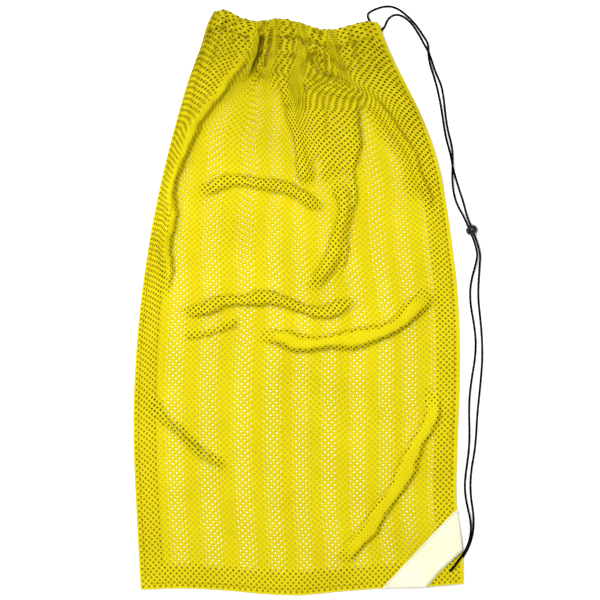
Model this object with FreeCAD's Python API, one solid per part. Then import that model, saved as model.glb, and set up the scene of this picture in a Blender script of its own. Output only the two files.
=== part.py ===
"""Mesh ball bag with a gathered drawstring mouth, lying flat and empty.

Units are millimetres. The bag lies in the XY plane with its mouth at +Y and the
floor at z = 0. The origin is under the middle of the bag. Cloth pieces are plain
closed solids that keep the bag's outline, its hollow and its open mouth.
"""
import FreeCAD
import Part
import math
import os

from FreeCAD import Vector

# ---- driving dimensions -------------------------------------------------------
CLOTH = 0.8             # thickness of one layer of mesh
UNDERSIDE_TRIM = 0.1    # cut off the back panel's underside, so that it lies on a true plane
GAP = 0.3               # air between neighbouring layers of cloth
ALLOWANCE = 1.2         # thickness of a folded seam allowance
HOLLOW_TOP = 9.4        # underside of the front panel along the middle of the bag
NECK_TOP = 15.6         # the same just below the mouth
ARCH_SHARE = 0.3        # share of the width over which the front rises from each side seam
BELLY_END = 0.17        # share of the length over which it rises from the bottom seam
NECK_START = 0.7        # share of the length where the front starts to rise to the neck
EDGE_RISE_START = 0.8   # the same for its edges, which rise to meet the hems
CORNER_LIFT = 3.6       # height of the lower right corner, where the cord passes under it
LIFT_FULL = 50.0        # distance from that corner where the lift starts to fade
LIFT_END = 110.0        # distance from that corner where the cloth is back on the floor

HEM_THICK = 5.6         # flattened hem with the cord channel in it
HEM_START = 0.967       # fraction of the bag's length where the hems begin
HEM_GAP = 0.0006        # the same fraction left free between a panel and its hem
MOUTH_OPEN = 7.5        # gap between the two hems in the middle of the mouth

SEAM_SHARE = 0.07       # share of the bag's width taken by a side seam allowance
BOTTOM_SHARE = 0.035    # share of the bag's length taken by the bottom allowance
THREAD_IN = 0.016       # how far in from the edge a seam is stitched, as a share of the width
THREAD_WIDE = 0.0027    # width of a stitched line, as a share of the bag's width
THREAD_THICK = 0.5
LENGTHWISE = 0.55       # a share of the width times this is the same distance in the length
HEM_THREAD = (0.0015, 0.0032)           # the hem's stitches, as shares above its start
BAND_THREADS = (0.05, 0.93)             # the band's stitches, as shares of its width
BAND_THREAD_WIDE = 0.02
CUTTER = 30.0           # length of the cylinder that cuts the corner hole

CORD_D = 3.0
CHANNEL_D = 4.2
JOIN_D = 3.7
CORNER_HOLE_D = 5.2

BALL_R = 7.0
NECK_R = 5.4            # collar round the plunger
NECK_END = 6.5
PLUNGER_R = 4.2
PLUNGER_END = 9.5
PLUNGER_TRAVEL = 2.2
PLUNGER_FLOOR = 1.2     # wall between the plunger's cord slot and the spring
RUNNING = 0.05          # radial clearance of the plunger in its bore
SPRING_ROOM = 0.2       # radial clearance of the spring in its pocket
BORE_END = -4.6
POCKET_END = -6.0
SPRING_OUT_R = 2.3
SPRING_IN_R = 1.7
CORD_SLOT = 3.4         # width of the slots that the two cords pass through
ARC_SHARE = 0.45        # share of a cord's shorter run that an arc takes

# ---- outline of the bag, points in order along each side ----------------------
LEFT_SIDE = [(-217.5, -395.0), (-222.8, -299.3), (-227.6, -161.4), (-224.6, -78.6), (-217.2, 4.1),
             (-205.2, 86.9), (-188.5, 169.7), (-167.6, 252.4), (-150.4, 310.0), (-134.9, 352.0),
             (-124.5, 386.0)]
RIGHT_SIDE = [(227.0, -386.2), (225.5, -340.0), (217.9, -275.0), (218.6, -202.8), (221.6, -120.0),
              (221.6, -37.2), (217.4, 31.7), (210.5, 86.9), (202.5, 142.1), (190.6, 197.2),
              (171.4, 252.4), (144.8, 307.6), (127.0, 342.0), (115.6, 369.0), (108.3, 387.6)]
TOP_SIDE = [(-124.5, 386.0), (-114.0, 401.8), (-98.0, 402.4), (-80.7, 393.1), (-58.6, 387.6),
            (-25.5, 391.0), (2.1, 385.2), (29.7, 376.6), (51.7, 376.6), (73.8, 383.4),
            (95.9, 388.0), (108.3, 387.6)]
BOTTOM_SIDE = [(-217.5, -395.0), (-162.1, -393.1), (-100.0, -395.9), (-47.6, -400.8), (2.1, -402.4),
               (57.2, -397.4), (115.2, -393.1), (177.2, -390.3), (227.0, -386.2)]
CORNER = RIGHT_SIDE[0]

# Edges of the white band across the lower right corner, from the side seam to the bottom seam.
BAND_UPPER = [(216.6, -284.3), (181.0, -322.0), (148.0, -358.0), (114.6, -392.0)]
BAND_LOWER = [(223.6, -341.6), (209.5, -354.0), (191.5, -371.0), (177.0, -388.6)]

# Shares of the width and length where the cloth surfaces have their control points.
U_LINES = [0, SEAM_SHARE / 2, SEAM_SHARE, 0.14, 0.22, 0.3, 0.4, 0.5, 0.6, 0.7, 0.78, 0.86,
           1 - SEAM_SHARE, 1 - SEAM_SHARE / 2, 1]
V_LINES = [0, BOTTOM_SHARE / 2, BOTTOM_SHARE, 0.06, 0.09, 0.125, BELLY_END, 0.24, 0.33, 0.43, 0.53, 0.63,
           0.73, 0.82, 0.89, 0.935, HEM_START - HEM_GAP]
HEM_LINES = [HEM_START, 0.978, 0.989, 1]

# ---- cord lock: where it sits and which way it points --------------------------
LOCK = Vector(239.6, 101.0, BALL_R)
ALONG = Vector(0.38, -0.925, 0).normalize()     # along the cords, towards the corner
OUT = Vector(-0.925, -0.38, 0).normalize()      # from the ball's middle to the plunger's end
NEAR_CORD = 0.6                                 # the two cords' places along OUT
FAR_CORD = 4.0
BEFORE_LOCK = -18.5                             # ends of the straight stretch through the lock
AFTER_LOCK = 30.0


def through_lock(side, along):
    return LOCK + OUT * side + ALONG * along


# ---- the drawcord's route: one loop, free part and part inside the hems --------
CORNER_HOLE = Vector(208.3, -369.2, 0)
EXIT_A = Vector(97.8, 388.0, 8.7)
EXIT_B = Vector(113.1, 374.8, 2.56)

FREE_ROUTE = [
    EXIT_A,
    Vector(94.8, 392.8, 8.6), Vector(95.6, 399.0, 8.0), Vector(104.1, 403.9, 6.6),
    Vector(116.6, 408.3, 4.6), Vector(128.0, 408.8, 3.0), Vector(138.6, 404.6, 2.1),
    Vector(147.4, 397.8, 1.8), Vector(156.1, 389.8, 1.8), Vector(164.8, 379.1, 2.6),
    Vector(170.9, 369.2, 4.4), Vector(176.3, 360.7, 6.6), Vector(178.8, 353.8, 7.6),
    Vector(178.5, 339.3, 7.6), Vector(181.4, 326.9, 4.6), Vector(185.5, 315.2, 1.9),
    Vector(189.3, 303.3, 1.5), Vector(193.2, 287.0, 1.5), Vector(196.2, 271.9, 1.5),
    Vector(198.8, 254.5, 1.5), Vector(201.0, 239.3, 1.5), Vector(203.7, 225.5, 1.5),
    Vector(207.5, 212.4, 1.5), Vector(210.7, 199.3, 1.5), Vector(213.0, 185.5, 1.5),
    Vector(217.6, 169.2, 1.5), Vector(222.4, 153.1, 2.2), Vector(226.9, 139.3, 4.6),
    through_lock(NEAR_CORD, BEFORE_LOCK), through_lock(NEAR_CORD, AFTER_LOCK),
    Vector(249.6, 51.0, 3.4), Vector(248.0, 27.0, 1.5),
    Vector(247.7, 4.0, 1.5), Vector(250.3, -18.3, 1.5), Vector(252.7, -45.0, 1.5),
    Vector(253.6, -73.0, 1.5), Vector(252.0, -98.0, 1.5), Vector(249.2, -127.0, 1.5),
    Vector(246.2, -155.0, 1.5), Vector(245.0, -181.0, 1.5), Vector(242.6, -206.0, 1.5),
    Vector(238.4, -228.0, 1.5), Vector(236.7, -249.0, 1.5), Vector(237.6, -268.0, 1.5),
    Vector(240.2, -284.0, 1.5), Vector(241.6, -299.0, 1.5), Vector(241.0, -313.5, 1.5),
    Vector(238.0, -327.5, 1.5), Vector(232.9, -340.0, 1.5), Vector(226.4, -350.6, 1.5),
    Vector(219.4, -359.2, 1.5),
    Vector(CORNER_HOLE.x, CORNER_HOLE.y, 1.5), Vector(CORNER_HOLE.x, CORNER_HOLE.y, 8.7),
    Vector(214.5, -362.1, 8.8), Vector(220.2, -353.8, 8.8), Vector(226.6, -345.2, 8.6),
    Vector(231.8, -336.0, 7.2), Vector(235.8, -325.0, 6.0), Vector(237.6, -311.5, 5.4),
    Vector(236.4, -297.6, 4.6), Vector(233.4, -283.6, 2.8), Vector(230.4, -269.0, 1.7),
    Vector(229.0, -254.0, 1.5), Vector(230.0, -238.0, 1.5), Vector(232.6, -220.0, 1.5),
    Vector(235.0, -201.0, 1.5), Vector(235.8, -178.0, 1.5), Vector(235.0, -153.0, 1.5),
    Vector(235.6, -128.0, 1.5), Vector(239.2, -101.0, 1.5), Vector(243.4, -76.0, 1.5),
    Vector(244.6, -52.0, 1.5), Vector(241.6, -27.0, 1.5), Vector(237.2, -4.0, 1.5),
    Vector(236.2, 18.0, 1.5), Vector(239.2, 36.0, 2.0), Vector(243.8, 52.5, 4.6),
    through_lock(FAR_CORD, AFTER_LOCK), through_lock(FAR_CORD, BEFORE_LOCK),
    Vector(219.2, 133.4, 3.8), Vector(214.6, 147.6, 2.0), Vector(212.4, 161.0, 3.6),
    Vector(211.4, 173.4, 6.6), Vector(211.9, 185.0, 7.6),
    Vector(212.2, 201.0, 7.6), Vector(211.4, 213.0, 5.4), Vector(209.2, 225.0, 2.6),
    Vector(206.0, 237.2, 1.5), Vector(203.9, 249.7, 1.5), Vector(202.3, 262.0, 1.5),
    Vector(200.9, 275.0, 1.5), Vector(199.2, 288.6, 1.5), Vector(196.4, 301.4, 1.5),
    Vector(191.4, 312.4, 1.5), Vector(186.9, 323.6, 1.5), Vector(183.4, 335.4, 1.5),
    Vector(178.4, 347.6, 1.5), Vector(172.7, 357.4, 1.5), Vector(167.2, 367.7, 1.5),
    Vector(160.7, 378.5, 1.5), Vector(152.8, 388.7, 1.5), Vector(143.4, 395.6, 1.5),
    Vector(134.6, 398.0, 1.5), Vector(126.8, 395.0, 1.6), Vector(121.2, 388.0, 2.0),
    Vector(118.8, 379.6, 2.4),
    EXIT_B,
]

CHANNEL_ROUTE = [
    EXIT_B,
    Vector(104.6, 367.6, 2.8), Vector(90.0, 366.6, 2.8), Vector(70.0, 369.2, 2.8),
    Vector(40.0, 364.6, 2.8), Vector(8.0, 370.8, 2.8), Vector(-25.0, 377.4, 2.8),
    Vector(-56.0, 375.2, 2.8), Vector(-80.0, 380.6, 2.8), Vector(-97.0, 386.6, 2.8),
    Vector(-106.6, 386.0, 2.8), Vector(-113.4, 382.4, 2.8),
    Vector(-113.9, 382.0, 9.2), Vector(-107.0, 385.0, 9.9), Vector(-96.0, 387.6, 11.4),
    Vector(-79.0, 381.2, 13.9), Vector(-57.0, 376.0, 15.7), Vector(-27.0, 378.4, 15.9),
    Vector(6.0, 372.4, 15.9), Vector(38.0, 365.2, 15.8), Vector(66.0, 368.8, 13.6),
    Vector(86.0, 372.6, 10.8), Vector(97.0, 374.2, 9.4), Vector(103.6, 378.6, 8.9),
    EXIT_A,
]

JOIN_ARC = 11           # the cord's two ends are joined along this edge of the channel run

STEP_DIR = "parts"


# ---- geometry helpers -----------------------------------------------------------
def smooth(t):
    t = min(max(t, 0.0), 1.0)
    return t * t * (3 - 2 * t)


def along_side(points, share):
    """Point at this share of the length of a polyline."""
    lengths = [math.dist(a, b) for a, b in zip(points, points[1:])]
    left = share * sum(lengths)
    for (a, b), length in zip(zip(points, points[1:]), lengths):
        if left <= length:
            t = left / length
            return Vector(a[0] + (b[0] - a[0]) * t, a[1] + (b[1] - a[1]) * t, 0)
        left -= length
    return Vector(*points[-1], 0)


def on_bag(u, v):
    """Point of the bag's plan: u runs across from the left seam, v up from the bottom seam."""
    left, right = along_side(LEFT_SIDE, v), along_side(RIGHT_SIDE, v)
    bottom, top = along_side(BOTTOM_SIDE, u), along_side(TOP_SIDE, u)
    corners = [Vector(*p, 0) for p in (BOTTOM_SIDE[0], BOTTOM_SIDE[-1], TOP_SIDE[0], TOP_SIDE[-1])]
    twist = ((corners[0] * (1 - u) + corners[1] * u) * (1 - v)
             + (corners[2] * (1 - u) + corners[3] * u) * v)
    return left * (1 - u) + right * u + bottom * (1 - v) + top * v - twist


def shares_at(x, y):
    """The u and v of a point of the plan."""
    u, v = 0.5, 0.5
    for _ in range(40):
        p = on_bag(u, v)
        wide = on_bag(1, v).x - on_bag(0, v).x
        u = min(max(u + (x - p.x) / wide, -0.02), 1.02)
        v = min(max(v + (y - p.y) / (TOP_SIDE[5][1] - BOTTOM_SIDE[4][1]), -0.02), 1.02)
    return u, v


def lift(p):
    away = math.dist((p.x, p.y), CORNER)
    return CORNER_LIFT * (1 - smooth((away - LIFT_FULL) / (LIFT_END - LIFT_FULL)))


def arch(u):
    """0 at the side seams, 1 over the middle of the bag."""
    return smooth(min(u, 1 - u) / ARCH_SHARE)


def front_low(u, v):
    """Height of the front panel's underside."""
    edge = CLOTH + GAP + ALLOWANCE + GAP
    at_mouth = HEM_THICK + GAP + HEM_THICK / 2 - CLOTH / 2
    edge += (at_mouth - edge) * smooth((v - EDGE_RISE_START) / (HEM_START - EDGE_RISE_START))
    middle = HOLLOW_TOP + (NECK_TOP - HOLLOW_TOP) * smooth((v - NECK_START) / (HEM_START - NECK_START))
    return edge + (middle - edge) * arch(u) * smooth(v / BELLY_END)


def hem_low(u, v):
    """Height of the front hem's underside."""
    return HEM_THICK + GAP + (MOUTH_OPEN - GAP) * arch(u)


def poles_surface(rows):
    """Smooth surface with these points as its control points."""
    def knots(count):
        spans = count - 3
        return [i / spans for i in range(spans + 1)], [4] + [1] * (spans - 1) + [4]

    knots_u, mults_u = knots(len(rows))
    knots_v, mults_v = knots(len(rows[0]))
    surface = Part.BSplineSurface()
    surface.buildFromPolesMultsKnots(rows, mults_u, mults_v, knots_u, knots_v, False, False, 3, 3)
    return surface


def poles_curve(points):
    spans = len(points) - 3
    curve = Part.BSplineCurve()
    curve.buildFromPolesMultsKnots(points, [4] + [1] * (spans - 1) + [4],
                                   [i / spans for i in range(spans + 1)], False, 3)
    return curve.toShape()


def slab(plan, low, high):
    """Closed solid over a grid of plan points, between two heights at each point."""
    under = [[Vector(p.x, p.y, low(p, u, v)) for p, u, v in row] for row in plan]
    over = [[Vector(p.x, p.y, high(p, u, v)) for p, u, v in row] for row in plan]
    faces = [poles_surface(under).toShape(), poles_surface(over).toShape()]
    sides = [(under[0], over[0]), (under[-1], over[-1]),
             ([r[0] for r in under], [r[0] for r in over]),
             ([r[-1] for r in under], [r[-1] for r in over])]
    faces += [Part.makeRuledSurface(poles_curve(a), poles_curve(b)) for a, b in sides]
    shell = Part.Shell(faces)
    shell.sewShape()
    solid = Part.Solid(shell)
    return solid if solid.Volume > 0 else solid.reversed()


def bag_grid(us, vs):
    return [[(on_bag(u, v), u, v) for v in vs] for u in us]


def spread(first, last, count):
    return [first + (last - first) * i / (count - 1) for i in range(count)]


def layer(us, vs, base, offset, thick):
    """Cloth layer that keeps a fixed offset above a height function of u and v."""
    return slab(bag_grid(us, vs), lambda p, u, v: base(u, v) + offset + lift(p),
                lambda p, u, v: base(u, v) + offset + thick + lift(p))


def rounded_path(points):
    """Straight runs joined by tangent arcs, each arc as large as its two runs allow."""
    edges, radii, start = [], [], points[0]
    for before, corner, after in zip(points, points[1:], points[2:]):
        back, ahead = before - corner, after - corner
        reach = ARC_SHARE * min(back.Length, ahead.Length)
        turn = math.pi - back.getAngle(ahead)
        radii.append(reach / math.tan(turn / 2))
        back.normalize()
        ahead.normalize()
        first, last = corner + back * reach, corner + ahead * reach
        inward = (back + ahead).normalize()
        centre = corner + inward * (reach / math.sin(turn / 2))
        middle = centre - inward * radii[-1]
        edges += [Part.LineSegment(start, first).toShape(), Part.Arc(first, middle, last).toShape()]
        start = last
    edges.append(Part.LineSegment(start, points[-1]).toShape())
    return edges, radii


def tube(edges, diameter):
    path = Part.Wire(edges)
    start = edges[0].Vertexes[0].Point
    ahead = edges[0].tangentAt(edges[0].FirstParameter)
    ring = Part.Wire([Part.makeCircle(diameter / 2, start, ahead)])
    return path.makePipeShell([ring], True, False)


def rod(radius, first, last, centre=LOCK, axis=OUT):
    return Part.makeCylinder(radius, last - first, centre + axis * first, axis)


# ---- the bag's cloth --------------------------------------------------------------
def corner_hole():
    return Part.makeCylinder(CORNER_HOLE_D / 2, CUTTER, CORNER_HOLE, Vector(0, 0, 1))


def back_mesh_panel():
    panel = layer(U_LINES, V_LINES, lambda u, v: 0, -UNDERSIDE_TRIM, CLOTH + UNDERSIDE_TRIM)
    box = panel.BoundBox
    wide, tall = 2 * box.XLength, 2 * box.YLength
    trim = Part.makeBox(wide, tall, CUTTER, Vector(-wide / 2, -tall / 2, -CUTTER))
    return panel.cut(trim).cut(corner_hole())


def front_mesh_panel():
    return layer(U_LINES, V_LINES, front_low, 0, CLOTH).cut(corner_hole())


def seam_allowance(us, vs):
    return layer(us, vs, lambda u, v: 0, CLOTH + GAP, ALLOWANCE)


def left_side_seam():
    return seam_allowance(spread(0, SEAM_SHARE, 4), V_LINES[2:-1])


def right_side_seam():
    return seam_allowance(spread(1 - SEAM_SHARE, 1, 4), V_LINES[2:-1])


def bottom_seam():
    vs = spread(0, BOTTOM_SHARE - HEM_GAP, 4)
    return seam_allowance(U_LINES, vs).cut(corner_hole())


def front_hem(channel):
    return layer(U_LINES, HEM_LINES, hem_low, 0, HEM_THICK).cut(channel)


def back_hem(channel):
    return layer(U_LINES, HEM_LINES, lambda u, v: 0, 0, HEM_THICK).cut(channel)


def seam_thread(us, vs):
    return layer(us, vs, front_low, CLOTH + GAP, THREAD_THICK)


def side_thread(u, vs):
    return seam_thread(spread(u, u + THREAD_WIDE, 4), vs)


def bottom_thread():
    v = THREAD_IN * LENGTHWISE
    return seam_thread(U_LINES[1:10], spread(v, v + THREAD_WIDE * LENGTHWISE, 4))


def hem_thread():
    vs = spread(HEM_START + HEM_THREAD[0], HEM_START + HEM_THREAD[1], 4)
    return layer(U_LINES[1:-1], vs, hem_low, HEM_THICK + GAP, THREAD_THICK)


def band_grid(first, last, count):
    """Plan points of the corner band between two shares of its width."""
    grid = []
    for s in spread(0, 1, 8):
        upper, lower = along_side(BAND_UPPER, s), along_side(BAND_LOWER, s)
        points = [lower * (1 - t) + upper * t for t in spread(first, last, count)]
        grid.append([(p, *shares_at(p.x, p.y)) for p in points])
    return grid


def band_layer(grid, offset, thick):
    return slab(grid, lambda p, u, v: front_low(u, v) + offset + lift(p),
                lambda p, u, v: front_low(u, v) + offset + thick + lift(p))


def corner_band():
    return band_layer(band_grid(0, 1, 6), CLOTH + 2 * GAP, CLOTH)


def corner_band_thread():
    rows = [band_layer(band_grid(t, t + BAND_THREAD_WIDE, 4), 2 * CLOTH + 3 * GAP, THREAD_THICK)
            for t in BAND_THREADS]
    return Part.Compound(rows)


# ---- the cord lock ------------------------------------------------------------------
def cord_slot(first, last):
    """Slot along the cords between two places along OUT."""
    def bore(side):
        return Part.makeCylinder(CORD_SLOT / 2, 4 * BALL_R, through_lock(side, -2 * BALL_R), ALONG)

    low, high = first + CORD_SLOT / 2, last - CORD_SLOT / 2
    block = Part.makeBox(high - low, CORD_SLOT, 4 * BALL_R)
    turn = FreeCAD.Rotation(OUT, Vector(0, 0, 1), ALONG, "ZXY")
    corner = through_lock(low, -2 * BALL_R) - turn.multVec(Vector(0, CORD_SLOT / 2, 0))
    block.Placement = FreeCAD.Placement(corner, turn)
    return bore(low).fuse([bore(high), block]).removeSplitter()


def cord_lock_body():
    body = Part.makeSphere(BALL_R, LOCK).fuse(rod(NECK_R, 0, NECK_END)).removeSplitter()
    body = body.cut(rod(PLUNGER_R + RUNNING, BORE_END, PLUNGER_END + 1))
    body = body.cut(rod(SPRING_OUT_R + SPRING_ROOM, POCKET_END, BORE_END + RUNNING))
    return body.cut(cord_slot(NEAR_CORD - CORD_SLOT / 2, FAR_CORD + CORD_SLOT / 2))


def cord_lock_plunger():
    inner = NEAR_CORD - CORD_D / 2 - RUNNING
    outer = FAR_CORD + CORD_D / 2 + PLUNGER_TRAVEL + 2 * RUNNING
    piston = rod(PLUNGER_R, inner - PLUNGER_FLOOR, PLUNGER_END)
    dome = Part.makeSphere(PLUNGER_R * 2, LOCK + OUT * (PLUNGER_END - PLUNGER_R * 2))
    return piston.common(dome).cut(cord_slot(inner, outer))


def cord_lock_spring():
    last = NEAR_CORD - CORD_D / 2 - RUNNING - PLUNGER_FLOOR
    return rod(SPRING_OUT_R, POCKET_END, last).cut(rod(SPRING_IN_R, POCKET_END, last))


# ---- the cord -------------------------------------------------------------------------
def cord_piece(name, points, tightest):
    """Cord tube and its path; the radii and the length are printed for checking."""
    edges, radii = rounded_path(points)
    solid = tube(edges, CORD_D)
    length = sum(edge.Length for edge in edges)
    section = math.pi * (CORD_D / 2) ** 2
    print(name, "length %.1f" % length, "volume/section*length %.4f" % (solid.Volume / section / length),
          "least radius %.1f" % min(radii))
    small = [(i + 1, round(radius, 1)) for i, radius in enumerate(radii) if radius < tightest]
    print("  radii below %.0f:" % tightest, small)
    return solid, edges


def main():
    os.makedirs(STEP_DIR, exist_ok=True)
    free_cord, _ = cord_piece("drawcord_free_run", FREE_ROUTE, 3 * CORD_D)
    channel_cord, channel_edges = cord_piece("drawcord_channel_run", CHANNEL_ROUTE, 3 * CORD_D)
    exits, _ = rounded_path(FREE_ROUTE[-3:-1] + CHANNEL_ROUTE[1:-1] + FREE_ROUTE[1:3])
    channel = tube(exits, CHANNEL_D)
    join_edge = [channel_edges[JOIN_ARC]]
    solids = {
        "back_mesh_panel": back_mesh_panel(),
        "front_mesh_panel": front_mesh_panel(),
        "back_mouth_hem": back_hem(channel),
        "front_mouth_hem": front_hem(channel),
        "left_side_seam": left_side_seam(),
        "right_side_seam": right_side_seam(),
        "bottom_seam": bottom_seam(),
        "left_seam_thread": side_thread(THREAD_IN, V_LINES[1:]),
        "right_seam_thread": side_thread(1 - THREAD_IN - THREAD_WIDE, V_LINES[6:]),
        "bottom_seam_thread": bottom_thread(),
        "mouth_hem_thread": hem_thread(),
        "corner_band": corner_band(),
        "corner_band_thread": corner_band_thread(),
        "drawcord_free_run": free_cord,
        "drawcord_channel_run": channel_cord,
        "drawcord_join": tube(join_edge, JOIN_D).cut(tube(join_edge, CORD_D)),
        "cord_lock_body": cord_lock_body(),
        "cord_lock_plunger": cord_lock_plunger(),
        "cord_lock_spring": cord_lock_spring(),
    }
    for name, solid in solids.items():
        box = solid.BoundBox
        print("%-22s valid %s solids %d volume %.1f box %.1f %.1f %.1f to %.1f %.1f %.1f" % (
            name, solid.isValid(), len(solid.Solids), solid.Volume,
            box.XMin, box.YMin, box.ZMin, box.XMax, box.YMax, box.ZMax))
        solid.exportStep("%s/%s.step" % (STEP_DIR, name))


main()
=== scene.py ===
"""Mesh ball bag with a drawstring mouth, lying flat and empty: the looks of every piece.

Units are metres in the frame's own axes: the bag lies in the XY plane on the floor at
z = 0, with its mouth at +Y. Every cloth piece is a net with real holes. Its plan comes
from the bag's outline, and its height from the folds that lie across the bag.
"""
import math

import bpy
import numpy as np
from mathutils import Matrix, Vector


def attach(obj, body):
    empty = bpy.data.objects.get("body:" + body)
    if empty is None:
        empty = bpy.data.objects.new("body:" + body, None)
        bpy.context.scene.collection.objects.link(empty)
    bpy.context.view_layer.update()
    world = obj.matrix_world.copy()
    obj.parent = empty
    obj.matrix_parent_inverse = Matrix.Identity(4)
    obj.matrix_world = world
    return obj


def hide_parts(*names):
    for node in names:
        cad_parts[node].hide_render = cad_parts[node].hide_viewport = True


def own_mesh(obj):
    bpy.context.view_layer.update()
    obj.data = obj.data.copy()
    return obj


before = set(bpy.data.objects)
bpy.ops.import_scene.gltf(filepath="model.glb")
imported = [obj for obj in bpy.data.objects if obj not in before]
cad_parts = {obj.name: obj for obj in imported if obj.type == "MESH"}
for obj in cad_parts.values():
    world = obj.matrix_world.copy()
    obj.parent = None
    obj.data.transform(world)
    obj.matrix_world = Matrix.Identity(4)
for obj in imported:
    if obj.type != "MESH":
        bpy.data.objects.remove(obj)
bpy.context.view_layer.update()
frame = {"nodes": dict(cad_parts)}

# ---- the cord and its lock ----
CORD_WIDE = 0.0030
LOCK = (0.2396, 0.1010, 0.0070)  # middle of the lock's ball
ALONG = (0.38, -0.925, 0.0)     # along the two cords, towards the corner
OUT = (-0.925, -0.38, 0.0)      # from the ball's middle to the plunger's end
NEAR_CORD = 0.0006              # the two cords' places along OUT
FAR_CORD = 0.0040
BEFORE_LOCK = -0.0185           # the cords run straight from here
AFTER_LOCK = 0.0300             # to here, along ALONG
CORNER_HOLE = (0.2083, -0.3692)
EXIT_A = (0.0978, 0.3880, 0.0087)
EXIT_B = (0.1131, 0.3748, 0.0026)


def through_lock(side, along):
    """The point that lies this far along OUT and ALONG from the ball's middle."""
    out, ahead = Vector(OUT).normalized(), Vector(ALONG).normalized()
    return tuple(Vector(LOCK) + out * side + ahead * along)


def on_floor(points):
    """The points of a cord: those without a height rest on the floor."""
    return [(*p, CORD_WIDE / 2)[:3] for p in points]


FREE_ROUTE = on_floor([
    EXIT_A, (0.0948, 0.3928, 0.0086), (0.0956, 0.3990, 0.0080), (0.1041, 0.4039, 0.0066),
    (0.1166, 0.4083, 0.0046), (0.1280, 0.4088, 0.0030), (0.1386, 0.4046, 0.0021),
    (0.1474, 0.3978, 0.0018), (0.1561, 0.3898, 0.0018), (0.1648, 0.3791, 0.0026),
    (0.1709, 0.3692, 0.0044), (0.1763, 0.3607, 0.0066), (0.1788, 0.3538, 0.0076),
    (0.1785, 0.3393, 0.0076), (0.1814, 0.3269, 0.0046), (0.1855, 0.3152, 0.0019), (0.1893, 0.3033),
    (0.1932, 0.2870), (0.1962, 0.2719), (0.1988, 0.2545), (0.2010, 0.2393), (0.2037, 0.2255),
    (0.2075, 0.2124), (0.2107, 0.1993), (0.2130, 0.1855), (0.2176, 0.1692), (0.2224, 0.1531, 0.0022),
    (0.2269, 0.1393, 0.0046), through_lock(NEAR_CORD, BEFORE_LOCK),
    through_lock(NEAR_CORD, AFTER_LOCK), (0.2496, 0.0510, 0.0034), (0.2480, 0.0270), (0.2477, 0.0040),
    (0.2503, -0.0183), (0.2527, -0.0450), (0.2536, -0.0730), (0.2520, -0.0980), (0.2492, -0.1270),
    (0.2462, -0.1550), (0.2450, -0.1810), (0.2426, -0.2060), (0.2384, -0.2280), (0.2367, -0.2490),
    (0.2376, -0.2680), (0.2402, -0.2840), (0.2416, -0.2990), (0.2410, -0.3135), (0.2380, -0.3275),
    (0.2329, -0.3400), (0.2264, -0.3506), (0.2194, -0.3592), CORNER_HOLE, (*CORNER_HOLE, 0.0087),
    (0.2145, -0.3621, 0.0088), (0.2202, -0.3538, 0.0088), (0.2266, -0.3452, 0.0086),
    (0.2318, -0.3360, 0.0072), (0.2358, -0.3250, 0.0060), (0.2376, -0.3115, 0.0054),
    (0.2364, -0.2976, 0.0046), (0.2334, -0.2836, 0.0028), (0.2304, -0.2690, 0.0017), (0.2290, -0.2540),
    (0.2300, -0.2380), (0.2326, -0.2200), (0.2350, -0.2010), (0.2358, -0.1780), (0.2350, -0.1530),
    (0.2356, -0.1280), (0.2392, -0.1010), (0.2434, -0.0760), (0.2446, -0.0520), (0.2416, -0.0270),
    (0.2372, -0.0040), (0.2362, 0.0180), (0.2392, 0.0360, 0.0020), (0.2438, 0.0525, 0.0046),
    through_lock(FAR_CORD, AFTER_LOCK), through_lock(FAR_CORD, BEFORE_LOCK), (0.2192, 0.1334, 0.0038),
    (0.2146, 0.1476, 0.0020), (0.2124, 0.1610, 0.0036), (0.2114, 0.1734, 0.0066),
    (0.2119, 0.1850, 0.0076), (0.2122, 0.2010, 0.0076), (0.2114, 0.2130, 0.0054),
    (0.2092, 0.2250, 0.0026), (0.2060, 0.2372), (0.2039, 0.2497), (0.2023, 0.2620), (0.2009, 0.2750),
    (0.1992, 0.2886), (0.1964, 0.3014), (0.1914, 0.3124), (0.1869, 0.3236), (0.1834, 0.3354),
    (0.1784, 0.3476), (0.1727, 0.3574), (0.1672, 0.3677), (0.1607, 0.3785), (0.1528, 0.3887),
    (0.1434, 0.3956), (0.1346, 0.3980), (0.1268, 0.3950, 0.0016), (0.1212, 0.3880, 0.0020),
    (0.1188, 0.3796, 0.0024), EXIT_B,
])
CHANNEL_ROUTE = [
    EXIT_B, (0.1046, 0.3676, 0.0028), (0.0900, 0.3666, 0.0028), (0.0700, 0.3692, 0.0028),
    (0.0400, 0.3646, 0.0028), (0.0080, 0.3708, 0.0028), (-0.0250, 0.3774, 0.0028),
    (-0.0560, 0.3752, 0.0028), (-0.0800, 0.3806, 0.0028), (-0.0970, 0.3866, 0.0028),
    (-0.1066, 0.3860, 0.0028), (-0.1134, 0.3824, 0.0028), (-0.1139, 0.3820, 0.0092),
    (-0.1070, 0.3850, 0.0099), (-0.0960, 0.3876, 0.0114), (-0.0790, 0.3812, 0.0139),
    (-0.0570, 0.3760, 0.0157), (-0.0270, 0.3784, 0.0159), (0.0060, 0.3724, 0.0159),
    (0.0380, 0.3652, 0.0158), (0.0660, 0.3688, 0.0136), (0.0860, 0.3726, 0.0108),
    (0.0970, 0.3742, 0.0094), (0.1036, 0.3786, 0.0089), EXIT_A,
]

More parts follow.
